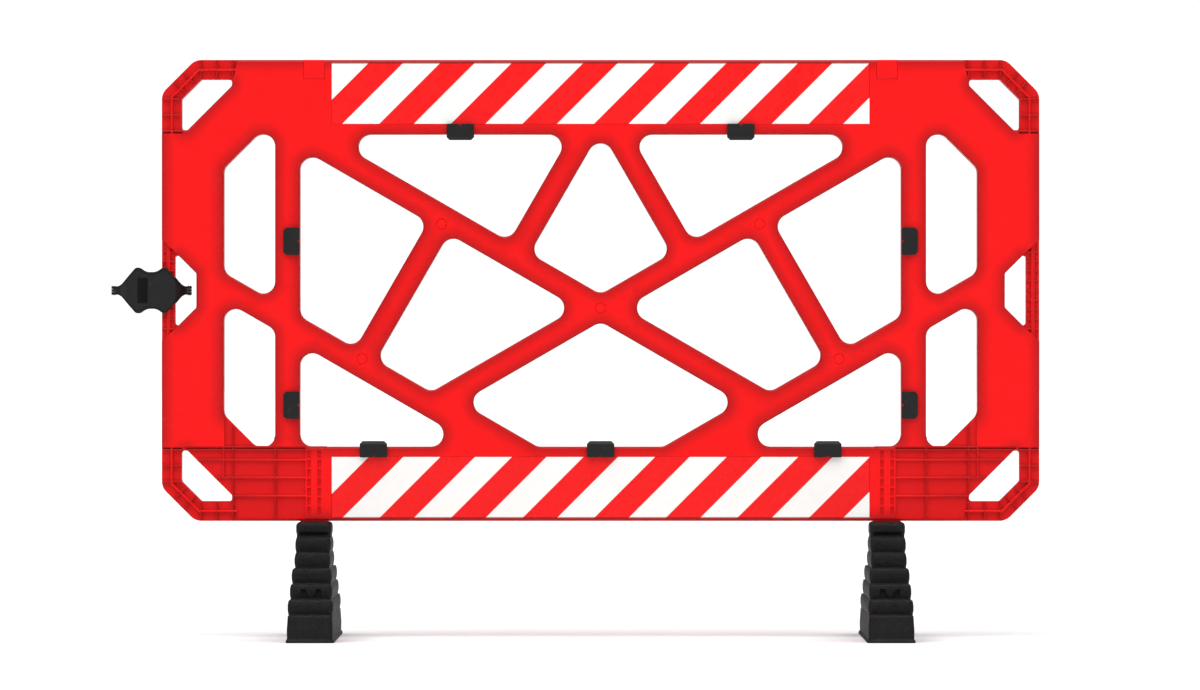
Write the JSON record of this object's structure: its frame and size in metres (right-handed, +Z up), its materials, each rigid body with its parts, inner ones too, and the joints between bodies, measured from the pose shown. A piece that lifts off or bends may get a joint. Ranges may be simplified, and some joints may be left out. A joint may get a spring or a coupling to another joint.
{
  "type": "plastic works barrier",
  "caption": "Moulded plastic works barrier: open-webbed panel with hand holes and striped bands, on turnable rubber feet, with a swinging side link.",
  "frame": {"origin": "on the ground, under the middle of the whole outline, link included", "axes": "+X along the panel, away from the link; the striped front looks to -Y; +Z up"},
  "size_m": [1.5872, 0.5, 0.989],
  "materials": {
    "panel": "moulded red polyethylene, fine grain, soft sheen",
    "cap": "moulded red polyethylene",
    "striped_sheet": "red and white retroreflective sheet, slanted stripes",
    "foot": "moulded recycled rubber, dull black with grey highlights",
    "post": "moulded nylon",
    "link": "moulded nylon, satin",
    "retainer": "moulded nylon, satin",
    "fastener": "zinc plated"
  },
  "bodies": {
    "barrier": {"panel": "panel", "left_lamp_socket_cap": "cap", "right_lamp_socket_cap": "cap", "upper_striped_sheet": "striped_sheet", "lower_striped_sheet": "striped_sheet"},
    "left_foot": {"left_foot": "foot", "left_post": "post", "left_post_ring": "fastener", "left_post_bolt": "fastener", "left_bolt_washer": "fastener"},
    "right_foot": {"right_foot": "foot", "right_post": "post", "right_post_ring": "fastener", "right_post_bolt": "fastener", "right_bolt_washer": "fastener"},
    "link": {"link_front_shell": "link", "link_back_shell": "link", "link_outer_pin": "fastener", "link_inner_pin": "fastener"},
    "retainer_top_left": {"retainer_top_left": "retainer", "push_washer_top_left": "fastener"},
    "retainer_bottom_left": {"retainer_bottom_left": "retainer", "push_washer_bottom_left": "fastener"},
    "retainer_left_upper": {"retainer_left_upper": "retainer", "push_washer_left_upper": "fastener"},
    "retainer_left_lower": {"retainer_left_lower": "retainer", "push_washer_left_lower": "fastener"},
    "retainer_top_right": {"retainer_top_right": "retainer", "push_washer_top_right": "fastener"},
    "retainer_bottom_right": {"retainer_bottom_right": "retainer", "push_washer_bottom_right": "fastener"},
    "retainer_right_upper": {"retainer_right_upper": "retainer", "push_washer_right_upper": "fastener"},
    "retainer_right_lower": {"retainer_right_lower": "retainer", "push_washer_right_lower": "fastener"},
    "retainer_bottom_middle": {"retainer_bottom_middle": "retainer", "push_washer_bottom_middle": "fastener"}
  },
  "joints": [
    {"name": "left_foot_turn", "type": "hinge", "parent": "barrier", "child": "left_foot", "pos_m": [-0.4458, 0, 0.201], "axis": [0, 0, 1], "range_deg": [-90, 90]},
    {"name": "right_foot_turn", "type": "hinge", "parent": "barrier", "child": "right_foot", "pos_m": [0.5332, 0, 0.201], "axis": [0, 0, 1], "range_deg": [-90, 90]},
    {"name": "link_swing", "type": "hinge", "parent": "barrier", "child": "link", "pos_m": [-0.6953, 0, 0.595], "axis": [0, 0, 1], "range_deg": [-90, 90]},
    {"name": "top_left_retainer_turn", "type": "hinge", "parent": "barrier", "child": "retainer_top_left", "pos_m": [-0.1958, -0.0225, 0.8706], "axis": [0, 1, 0], "range_deg": [0, 180]},
    {"name": "bottom_left_retainer_turn", "type": "hinge", "parent": "barrier", "child": "retainer_bottom_left", "pos_m": [-0.3443, -0.0225, 0.3188], "axis": [0, 1, 0], "range_deg": [0, 180]},
    {"name": "left_upper_retainer_turn", "type": "hinge", "parent": "barrier", "child": "retainer_left_upper", "pos_m": [-0.4793, -0.0225, 0.679], "axis": [0, 1, 0], "range_deg": [0, 180]},
    {"name": "left_lower_retainer_turn", "type": "hinge", "parent": "barrier", "child": "retainer_left_lower", "pos_m": [-0.4793, -0.0225, 0.399], "axis": [0, 1, 0], "range_deg": [0, 180]},
    {"name": "top_right_retainer_turn", "type": "hinge", "parent": "barrier", "child": "retainer_top_right", "pos_m": [0.2832, -0.0225, 0.8706], "axis": [0, 1, 0], "range_deg": [0, 180]},
    {"name": "bottom_right_retainer_turn", "type": "hinge", "parent": "barrier", "child": "retainer_bottom_right", "pos_m": [0.4317, -0.0225, 0.3188], "axis": [0, 1, 0], "range_deg": [0, 180]},
    {"name": "right_upper_retainer_turn", "type": "hinge", "parent": "barrier", "child": "retainer_right_upper", "pos_m": [0.5666, -0.0225, 0.679], "axis": [0, 1, 0], "range_deg": [0, 180]},
    {"name": "right_lower_retainer_turn", "type": "hinge", "parent": "barrier", "child": "retainer_right_lower", "pos_m": [0.5666, -0.0225, 0.399], "axis": [0, 1, 0], "range_deg": [0, 180]},
    {"name": "bottom_middle_retainer_turn", "type": "hinge", "parent": "barrier", "child": "retainer_bottom_middle", "pos_m": [0.0437, -0.0225, 0.3188], "axis": [0, 1, 0], "range_deg": [0, 180]}
  ]
}
